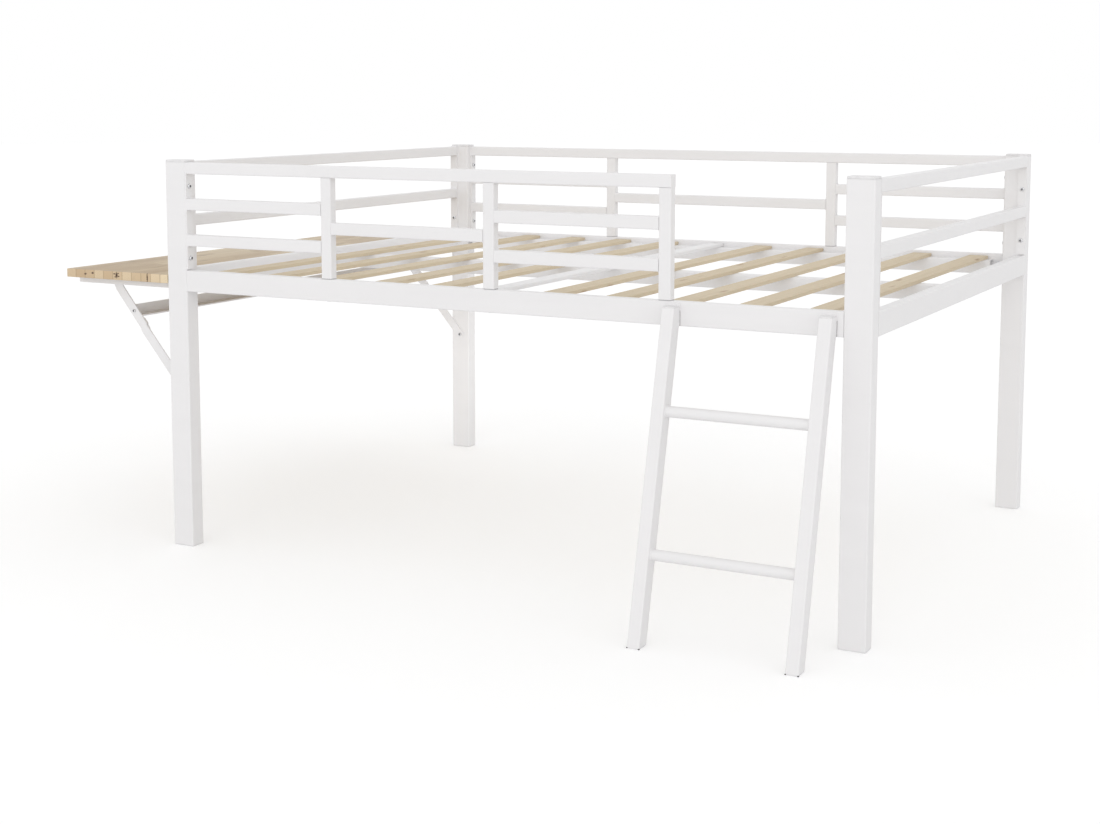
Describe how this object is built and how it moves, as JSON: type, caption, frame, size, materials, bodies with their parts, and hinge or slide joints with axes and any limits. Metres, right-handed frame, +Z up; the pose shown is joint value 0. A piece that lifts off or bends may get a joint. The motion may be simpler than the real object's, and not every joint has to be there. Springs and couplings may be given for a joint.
{
  "type": "cabin bed",
  "caption": "White steel cabin bed with wood slats, guard rails around the sleeping deck, a leaning ladder and a folding wood desk leaf across one end.",
  "frame": {"origin": "centre of the bounding box at floor level", "axes": "+X along the bed, away from the desk; +Y from the ladder side to the back; +Z up"},
  "size_m": [2.492, 1.8644, 1.133],
  "materials": {
    "white_metal": "satin powder coat",
    "zinc_steel": "zinc plated",
    "grey_plastic": "matt",
    "white_plastic": "matt",
    "slat_wood": "bare pine",
    "desk_wood": "oiled laminated pine"
  },
  "bodies": {
    "bed": {"post_front_left": "white_metal", "post_front_right": "white_metal", "post_back_left": "white_metal", "post_back_right": "white_metal", "post_caps": "white_plastic", "post_glides": "white_plastic", "side_rail_front": "white_metal", "side_rail_back": "white_metal", "end_rail_left": "white_metal", "end_rail_right": "white_metal", "rail_spigots": "zinc_steel", "ledge_front": "white_metal", "ledge_back": "white_metal", "centre_beam": "white_metal", "cross_bar": "white_metal", "slat_1": "slat_wood", "slat_2": "slat_wood", "slat_3": "slat_wood", "slat_4": "slat_wood", "slat_5": "slat_wood", "slat_6": "slat_wood", "slat_7": "slat_wood", "slat_8": "slat_wood", "slat_9": "slat_wood", "slat_10": "slat_wood", "front_guard_top": "white_metal", "front_guard_uprights": "white_metal", "front_guard_bars": "white_metal", "back_guard_top": "white_metal", "back_guard_uprights": "white_metal", "back_guard_bars": "white_metal", "left_guard_bars": "white_metal", "right_guard_bars": "white_metal", "guard_plates": "white_metal", "upright_plugs": "grey_plastic", "upright_bolts": "zinc_steel", "frame_bolts": "zinc_steel", "nuts": "zinc_steel", "hinge_plates_bed": "zinc_steel", "post_pivots": "zinc_steel", "ladder_stile_left": "white_metal", "ladder_stile_right": "white_metal", "ladder_rungs": "white_metal", "ladder_plates": "white_metal", "ladder_caps": "white_plastic", "ladder_bolts": "zinc_steel"},
    "desk_leaf": {"desk_top": "desk_wood", "desk_arm_front": "white_metal", "desk_arm_back": "white_metal", "arm_caps": "white_plastic", "arm_screws": "zinc_steel", "hinge_plates_desk": "zinc_steel", "hinge_pins": "zinc_steel", "arm_pivots": "zinc_steel"},
    "upper_stays": {"upper_stay_front": "white_metal", "upper_stay_back": "white_metal", "cross_angle_bar": "white_metal", "cross_bolts": "zinc_steel"},
    "lower_stays": {"lower_stay_front": "white_metal", "lower_stay_back": "white_metal"}
  },
  "joints": [
    {"name": "desk_fold", "type": "hinge", "parent": "bed", "child": "desk_leaf", "pos_m": [-0.86, 0.11443, 0.77], "axis": [0, -1, 0], "range_deg": [0, 90]},
    {"name": "upper_stay_turn", "type": "hinge", "parent": "desk_leaf", "child": "upper_stays", "pos_m": [-1.103, 0.11443, 0.762], "axis": [0, -1, 0], "range_deg": [0, 21.34]},
    {"name": "lower_stay_turn", "type": "hinge", "parent": "bed", "child": "lower_stays", "pos_m": [-0.821, 0.11443, 0.427], "axis": [0, 1, 0], "range_deg": [0, 52.92]}
  ],
  "couplings": [
    {"joint": "upper_stay_turn", "follows": "desk_fold", "ratio": 0.23695},
    {"joint": "lower_stay_turn", "follows": "desk_fold", "ratio": 0.58785}
  ]
}
